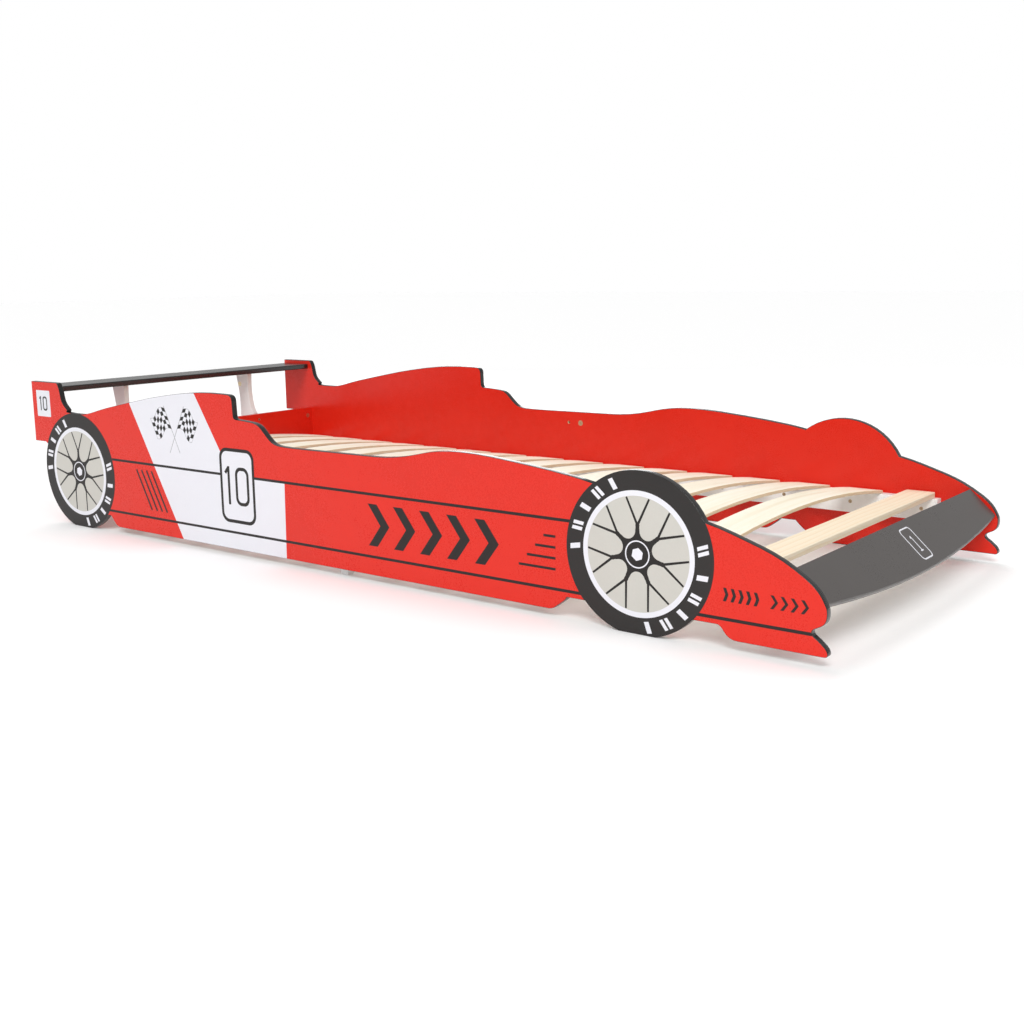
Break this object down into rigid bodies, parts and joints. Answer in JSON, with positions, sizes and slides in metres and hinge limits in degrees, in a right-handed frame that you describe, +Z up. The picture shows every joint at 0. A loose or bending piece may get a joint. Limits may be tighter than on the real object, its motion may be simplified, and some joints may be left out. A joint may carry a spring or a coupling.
{
  "type": "toddler bed",
  "caption": "Low slatted children's bed shaped like a racing car: side panels with printed wheels, headboard, rear wing on struts and a sloping nose board.",
  "frame": {"origin": "on the floor under the middle of the whole bed", "axes": "+X along the bed to the nose, +Y to the sleeper's left side panel, +Z up"},
  "size_m": [2.3167, 0.94, 0.3865],
  "materials": {
    "red_board": "satin",
    "black_board": "satin",
    "grey_board": "satin",
    "white_board": "satin",
    "black_edge": "satin",
    "red_print": "satin",
    "white_print": "satin",
    "black_print": "satin",
    "grey_print": "satin",
    "birch_veneer": "satin",
    "pine": "matte",
    "beech": "matte",
    "zinc": "satin",
    "steel": "satin"
  },
  "bodies": {
    "root": {"crossbar_dowels": "beech", "foot_crossbar": "pine", "headboard": "red_board", "headboard_cam_bolts": "steel", "headboard_cams": "zinc", "left_side_panel": "red_board", "left_slat_rail": "white_board", "left_spoiler_strut": "white_board", "left_support_leg": "white_board", "leg_dowels": "beech", "nose_board": "grey_board", "nose_dowels": "beech", "panel_cams": "zinc", "rail_screws": "steel", "rear_spoiler": "black_board", "right_side_panel": "red_board", "right_slat_rail": "white_board", "right_spoiler_strut": "white_board", "right_support_leg": "white_board", "slat_01": "birch_veneer", "slat_02": "birch_veneer", "slat_03": "birch_veneer", "slat_04": "birch_veneer", "slat_05": "birch_veneer", "slat_06": "birch_veneer", "slat_07": "birch_veneer", "slat_08": "birch_veneer", "slat_09": "birch_veneer", "slat_10": "birch_veneer", "slat_11": "birch_veneer", "slat_12": "birch_veneer", "slat_13": "birch_veneer", "slat_14": "birch_veneer", "slat_15": "birch_veneer", "slat_dowels": "beech", "spoiler_dowels": "beech", "strut_cam_bolts": "steel", "strut_cams": "zinc", "strut_screws": "steel"}
  },
  "joints": []
}
